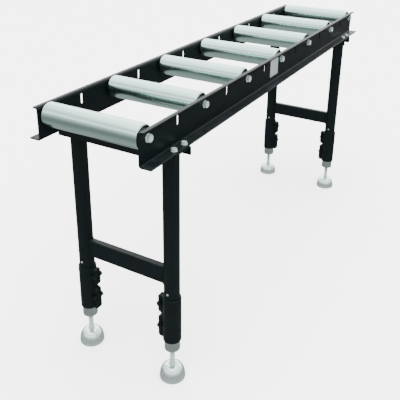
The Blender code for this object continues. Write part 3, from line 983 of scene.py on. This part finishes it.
def weld_path(half_width, half_height, leg_radius):
    """A weld bead that follows a box section's outline on the side of a round leg that points to +Y."""
    outline = rounded_box(half_width, half_height, BAR_CORNER, steps=4)
    step = 1.5 * MM
    curve = bpy.data.curves.new("bead", "CURVE")
    curve.dimensions = "3D"
    curve.bevel_depth = 2.2 * MM
    curve.bevel_resolution = 2
    spline = curve.splines.new("POLY")
    path = []
    for first, second in zip(outline, outline[1:] + outline[:1]):
        span = Vector(second) - Vector(first)
        count = max(1, round(span.length / step))
        path += [Vector(first) + span * i / count for i in range(count)]
    spline.points.add(len(path) - 1)
    for i, (point, (x, z)) in enumerate(zip(spline.points, path)):
        point.co = (x, math.sqrt(leg_radius ** 2 - x ** 2) + GAP, z, 1)
        point.radius = 1 + 0.14 * math.sin(i * math.pi / 1.5)
    spline.use_cyclic_u = True
    item = bpy.data.objects.new("bead", curve)
    bpy.context.scene.collection.objects.link(item)
    bpy.context.view_layer.update()
    bead = bpy.data.meshes.new_from_object(item.evaluated_get(bpy.context.evaluated_depsgraph_get()))
    bm = bmesh.new()
    bm.from_mesh(bead)
    bpy.data.objects.remove(item, do_unlink=True)
    bpy.data.curves.remove(curve)
    bpy.data.meshes.remove(bead)
    return cleaned(bm)


# Clamps

def sleeve_shape(sizes, name):
    """Split sleeve that points to +Y: stepped bore, slit, and two ears parted by a notch."""
    low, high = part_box(f"clamp_sleeve_{name}")
    leg_low, leg_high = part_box(f"leg_tube_{name}")
    leg_radius = (leg_high.x - leg_low.x) / 2
    inner_radius = 18.5 * MM
    fit = 0.15 * MM
    radius = (high.x - low.x) / 2
    reach = CLAMP_BOLT_REACH + 6.5 * MM
    edge = 1.2 * MM
    body = turned([(0, high.z, 0), (radius, high.z, edge), (radius, low.z, edge), (0, low.z, 0)], steps=4)
    ear_low = low.z + 0.2 * MM
    ear_top = high.z - 3.6 * MM
    ear = bar(rounded([
        (0, ear_low, 0), (reach, ear_low, 7 * MM), (reach, ear_top, 3 * MM), (0, ear_top, 0)],
        steps=6), -EAR_HALF, EAR_HALF)
    bmesh.ops.transform(ear, matrix=ALONG_X, verts=ear.verts)
    ear = softened(cleaned(ear), 1.4 * MM, 3)
    clear = 60 * MM
    upper = leg_radius + fit
    lower = inner_radius + fit
    step = leg_low.z - GAP
    bore = turned([
        (0, high.z + clear, 0), (upper, high.z + clear, 0), (upper, step, 0),
        (lower, step, 0), (lower, low.z - clear, 0), (0, low.z - clear, 0)])
    half_slit = 1.5 * MM
    slit = block((-half_slit, 0, low.z - clear), (half_slit, 2 * reach, high.z + clear))
    heights = [height for height, _ in CLAMP_BOLTS.values()]
    notch = notch_shape(sum(heights) / 2, reach)
    hole = rod(sizes.small_bolt + HOLE_PLAY, -3 * EAR_HALF, 3 * EAR_HALF)
    holes = [placed(hole, at(0, CLAMP_BOLT_REACH, height) @ TO_LEFT) for height in heights]
    whole = combined(
        body, ("UNION", ear), ("DIFFERENCE", bore), ("DIFFERENCE", slit), ("DIFFERENCE", notch),
        ("DIFFERENCE", gathered(holes)))
    return softened(whole, 0.5 * MM, 2, 60)


def notch_shape(centre, reach):
    """The cutter of the notch between a sleeve's ears: a narrow throat that opens into a wide mouth."""
    start = 26 * MM
    throat = 5 * MM
    mouth = 10 * MM
    corner = 2 * MM
    lower_edge = [
        (start, centre - throat, corner), (CLAMP_BOLT_REACH, centre - throat, corner),
        (reach, centre - mouth, 0), (2 * reach, centre - mouth, 0)]
    upper_edge = [
        (2 * reach, centre + mouth, 0), (reach, centre + mouth, 0),
        (CLAMP_BOLT_REACH, centre + throat, corner), (start, centre + throat, corner)]
    notch = bar(rounded(lower_edge + upper_edge), -3 * EAR_HALF, 3 * EAR_HALF)
    bmesh.ops.transform(notch, matrix=ALONG_X, verts=notch.verts)
    return cleaned(notch)


def build_clamps(sizes):
    """Split sleeves, each drawn together by two bolts with washers and nuts."""
    seat = EAR_HALF + SMALL_WASHER_THICK
    sleeve = sleeve_shape(sizes, LEG_NAMES[0])
    bolt, nut, washer = small_fasteners(sizes, 2 * seat)
    for name in LEG_NAMES:
        x, y = leg_axis(name)
        black_piece(f"sleeve_{name}", placed(sleeve, facing_middle(name)), f"clamp_sleeve_{name}")
        bolt_y = y - math.copysign(CLAMP_BOLT_REACH, y)
        for level, (height, degrees) in CLAMP_BOLTS.items():
            label = f"{level}_{name}"
            spun = TO_LEFT @ Matrix.Rotation(math.radians(degrees), 4, "Z")
            left_ear = at(x - EAR_HALF, bolt_y, height) @ TO_LEFT
            right_ear = at(x + EAR_HALF, bolt_y, height) @ TO_RIGHT
            black_piece(f"clamp_bolt_{label}", placed(bolt, at(x - seat, bolt_y, height) @ spun))
            black_piece(f"clamp_nut_{label}", placed(nut, at(x + seat, bolt_y, height) @ TO_RIGHT))
            black_piece(f"clamp_washer_head_{label}", placed(washer, left_ear))
            black_piece(f"clamp_washer_nut_{label}", placed(washer, right_ear))


# Feet

def threaded_rod(radius, low, high, lead):
    """A rod whose thread is one tooth carried round and up, a turn for each lead."""
    root = radius - 0.6 * lead
    crest = radius - 0.1 * lead
    turns = int((high - low) / lead) - 1
    sides = 20
    bm = bmesh.new()
    tooth = [(root, 0), (crest, 0.42 * lead), (crest, 0.58 * lead), (root, lead)]
    verts = [bm.verts.new((r, 0, low + z)) for r, z in tooth]
    for pair in zip(verts, verts[1:]):
        bm.edges.new(pair)
    bmesh.ops.spin(
        bm, geom=bm.verts[:] + bm.edges[:], cent=(0, 0, 0), axis=(0, 0, 1), angle=FULL_TURN * turns,
        steps=sides * turns, dvec=(0, 0, lead / sides))
    bmesh.ops.remove_doubles(bm, verts=bm.verts, dist=0.01 * MM)
    bmesh.ops.holes_fill(bm, edges=[edge for edge in bm.edges if edge.is_boundary], sides=0)
    return cleaned(bm)


def build_feet(sizes):
    """Inner legs with tapped plugs, threaded rods and domed pads."""
    for name in LEG_NAMES:
        leg = f"inner_leg_{name}"
        screw = f"foot_rod_{name}"
        pad = f"foot_pad_{name}"
        place = at(*leg_axis(name), 0)
        rod_low, rod_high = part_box(screw)
        rod_radius = (rod_high.y - rod_low.y) / 2
        inner = inner_leg_shape(name, rod_radius)
        thread = threaded_rod(rod_radius, rod_low.z, rod_high.z, sizes.foot_thread)
        dome = pad_shape(size(pad), rod_radius, rod_low.z)
        piece(f"inner_tube_{name}", placed(inner, place), "zinc_plate", leg, [leg])
        piece(f"rod_{name}", placed(thread, place), "zinc_plate", screw, [screw], 60)
        piece(f"pad_{name}", placed(dome, place), "bright_foot", pad, [pad])


def inner_leg_shape(name, rod_radius):
    """A tube that slides in the leg, with a collar below the sleeve and a tapped plug for the rod."""
    low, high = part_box(f"inner_leg_{name}")
    radius = (high.x - low.x) / 2
    tube = radius - 2.7 * MM
    bore = tube - 3 * MM
    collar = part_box(f"clamp_sleeve_{name}")[0].z - GAP
    plug_top = low.z + 18 * MM
    tapping = rod_radius + 0.2 * MM
    mouth = rod_radius + 1.2 * MM
    return turned([
        (tube, high.z, 0.5 * MM), (tube, collar, 0), (radius, collar, MM), (radius, low.z, 1.5 * MM),
        (mouth, low.z, 0), (tapping, low.z + MM, 0), (tapping, plug_top, 0), (bore, plug_top, 0),
        (bore, high.z, 0.5 * MM)], closed=True, steps=3)


def pad_shape(extent, rod_radius, rod_bottom):
    """A dome on a rolled rim, with a recess and a socket for the rod at its top."""
    rim = extent.x / 2
    top = extent.z
    neck = 11 * MM
    shoulder = 8 * MM
    recess = top - 3 * MM
    hollow = 1.2 * MM
    socket = rod_radius + GAP
    socket_bottom = rod_bottom - GAP
    spread = rim - 0.6 * MM - neck
    rise = top - shoulder
    steps = 16
    dome = []
    for i in range(steps + 1):
        angle = math.pi / 2 * i / steps
        dome.append((neck + spread * math.cos(angle), shoulder + rise * math.sin(angle), 0))
    inside = [
        (0, socket_bottom, 0), (socket, socket_bottom, 0), (socket, recess, 0.6 * MM),
        (neck - 1.5 * MM, recess, 0.8 * MM), (neck - 0.8 * MM, top - 0.2 * MM, 0)]
    foot = [
        (rim, shoulder - MM, 0.6 * MM), (rim, 0, 1.2 * MM), (rim - 5 * MM, 0, 0.5 * MM),
        (rim - 6 * MM, hollow, 0.5 * MM), (0, hollow, 0)]
    return turned([*inside, *reversed(dome), *foot])


# Stage

FLOOR_REACH = 30
FLOOR_DEPTH = 0.5

# how bright the surroundings are by the height of the direction, from straight down to straight up
SURROUNDINGS = [
    (-1.0, 0.50), (-0.68, 0.42), (-0.45, 0.28), (-0.10, 0.28), (0.08, 0.62), (0.30, 0.9), (0.37, 2.4),
    (0.50, 2.4), (0.58, 1.3), (0.70, 1.3), (0.80, 3.2), (1.0, 3.2)]

# how the overhead light leans from straight down
KEY_LEAN = (math.radians(10), math.radians(-14), 0)


def build_stage(stage):
    build_floor(stage)
    build_lights(stage)
    build_camera(stage)


def build_floor(stage):
    """A wide pale floor in four quarters, each of which follows the foot that stands on it. Glossy
    surfaces mirror the surroundings in its place."""
    finish = floor_material(stage)
    for name in LEG_NAMES:
        x, y = leg_axis(name)
        far_x = math.copysign(FLOOR_REACH, x)
        far_y = math.copysign(FLOOR_REACH, y)
        bm = block((min(0, far_x), min(0, far_y), -FLOOR_DEPTH), (max(0, far_x), max(0, far_y), 0))
        mesh = bpy.data.meshes.new(f"floor_{name}")
        bm.to_mesh(mesh)
        mesh.materials.append(finish)
        quarter = bpy.data.objects.new(f"floor_{name}", mesh)
        quarter.visible_glossy = False
        bpy.context.scene.collection.objects.link(quarter)
        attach(quarter, f"foot_pad_{name}")


def build_lights(stage):
    """A wide soft light overhead, and surroundings that are brightest overhead and behind the rails."""
    world = bpy.data.worlds.new("studio")
    paint = Paint(world, "Background")
    direction = paint.node("TexCoord", {}, {}, "Generated")
    height = paint.node("SeparateXYZ", {}, {"Vector": direction}, "Z")
    ahead = (math.cos(stage.heading), math.sin(stage.heading), 0)
    behind = paint.node("VectorMath", {"operation": "DOT_PRODUCT"}, {0: direction, 1: ahead}, "Value")
    stops = [((rise + 1) / 2, (light, light, light, 1)) for rise, light in SURROUNDINGS]
    room = paint.node("ValToRGB", {"stops": stops}, {0: height * 0.5 + 0.5})
    glow = paint.band(behind, 0.2, 0.95) * paint.band(height, 0.0, 0.1) * stage.glow
    paint.finish(Color=(1, 1, 1, 1), Strength=room * stage.surround + glow)
    bpy.context.scene.world = world
    lamp = bpy.data.lights.new("key_light", "SUN")
    lamp.energy = stage.key
    lamp.angle = stage.spread
    item = bpy.data.objects.new("key_light", lamp)
    item.rotation_euler = KEY_LEAN
    item.visible_glossy = False
    bpy.context.scene.collection.objects.link(item)


def build_camera(stage):
    """Looks along a heading and a tilt, with a little lens shift to hold the uprights."""
    lens = bpy.data.cameras.new("camera")
    lens.sensor_width = SENSOR_WIDTH
    lens.lens = stage.lens
    lens.shift_y = stage.rise
    camera = bpy.data.objects.new("camera", lens)
    aim = Matrix.Rotation(stage.heading - math.pi / 2, 4, "Z")
    tip = Matrix.Rotation(stage.tilt + math.pi / 2, 4, "X")
    camera.matrix_world = at(*stage.camera) @ (aim @ tip) @ Matrix.Rotation(stage.roll, 4, "Z")
    bpy.context.scene.collection.objects.link(camera)
    bpy.context.scene.camera = camera


# Operators

class CONVEYOR_OT_rails(bpy.types.Operator):
    """Add both folded rails"""
    bl_idname = "conveyor.rails"
    bl_label = "Rails"

    def execute(self, context):
        build_rails(context.scene.conveyor_sizes)
        return {"FINISHED"}


class CONVEYOR_OT_label(bpy.types.Operator):
    """Add the blank label plate"""
    bl_idname = "conveyor.label"
    bl_label = "Label plate"

    def execute(self, context):
        build_label()
        return {"FINISHED"}


class CONVEYOR_OT_rollers(bpy.types.Operator):
    """Add the roller tubes, end caps and bearings"""
    bl_idname = "conveyor.rollers"
    bl_label = "Rollers"

    def execute(self, context):
        build_rollers(context.scene.conveyor_sizes)
        return {"FINISHED"}


class CONVEYOR_OT_axles(bpy.types.Operator):
    """Add the axle shafts with their bolts and washers"""
    bl_idname = "conveyor.axles"
    bl_label = "Axles"

    def execute(self, context):
        build_axles(context.scene.conveyor_sizes)
        return {"FINISHED"}


class CONVEYOR_OT_stand_tops(bpy.types.Operator):
    """Add the stands' top channels and the bolts that hold the rails"""
    bl_idname = "conveyor.stand_tops"
    bl_label = "Stand tops"

    def execute(self, context):
        build_stand_tops(context.scene.conveyor_sizes)
        return {"FINISHED"}


class CONVEYOR_OT_legs(bpy.types.Operator):
    """Add the legs, crossbars, welds and lock screws"""
    bl_idname = "conveyor.legs"
    bl_label = "Legs"

    def execute(self, context):
        build_legs(context.scene.conveyor_sizes)
        return {"FINISHED"}


class CONVEYOR_OT_clamps(bpy.types.Operator):
    """Add the clamp sleeves with their bolts"""
    bl_idname = "conveyor.clamps"
    bl_label = "Clamps"

    def execute(self, context):
        build_clamps(context.scene.conveyor_sizes)
        return {"FINISHED"}


class CONVEYOR_OT_feet(bpy.types.Operator):
    """Add the inner legs, threaded rods and foot pads"""
    bl_idname = "conveyor.feet"
    bl_label = "Feet"

    def execute(self, context):
        build_feet(context.scene.conveyor_sizes)
        return {"FINISHED"}


class CONVEYOR_OT_stage(bpy.types.Operator):
    """Add the floor, lights and camera"""
    bl_idname = "conveyor.stage"
    bl_label = "Stage"

    def execute(self, context):
        build_stage(context.scene.conveyor_stage)
        return {"FINISHED"}


OPERATORS = [
    CONVEYOR_OT_rails, CONVEYOR_OT_label, CONVEYOR_OT_rollers, CONVEYOR_OT_axles, CONVEYOR_OT_stand_tops,
    CONVEYOR_OT_legs, CONVEYOR_OT_clamps, CONVEYOR_OT_feet, CONVEYOR_OT_stage]


class CONVEYOR_PT_panel(bpy.types.Panel):
    """Lists the conveyor's pieces and their settings"""
    bl_label = "Gravity roller conveyor"
    bl_idname = "CONVEYOR_PT_panel"
    bl_space_type = "VIEW_3D"
    bl_region_type = "UI"
    bl_category = "Conveyor"

    def draw(self, context):
        layout = self.layout
        scene = context.scene
        for group in (scene.conveyor_sizes, scene.conveyor_colours, scene.conveyor_stage):
            box = layout.box()
            for name in group.__annotations__:
                box.prop(group, name)
        for operator in OPERATORS:
            layout.operator(operator.bl_idname)


CLASSES = [ConveyorSizes, ConveyorColours, ConveyorStage, *OPERATORS, CONVEYOR_PT_panel]


def register():
    for cls in CLASSES:
        bpy.utils.register_class(cls)
    bpy.types.Scene.conveyor_sizes = PointerProperty(type=ConveyorSizes)
    bpy.types.Scene.conveyor_colours = PointerProperty(type=ConveyorColours)
    bpy.types.Scene.conveyor_stage = PointerProperty(type=ConveyorStage)


def unregister():
    del bpy.types.Scene.conveyor_stage
    del bpy.types.Scene.conveyor_colours
    del bpy.types.Scene.conveyor_sizes
    for cls in reversed(CLASSES):
        bpy.utils.unregister_class(cls)


def main():
    register()
    bpy.ops.conveyor.rails()
    bpy.ops.conveyor.label()
    bpy.ops.conveyor.rollers()
    bpy.ops.conveyor.axles()
    bpy.ops.conveyor.stand_tops()
    bpy.ops.conveyor.legs()
    bpy.ops.conveyor.clamps()
    bpy.ops.conveyor.feet()
    bpy.ops.conveyor.stage()


if __name__ == "__main__":
    main()
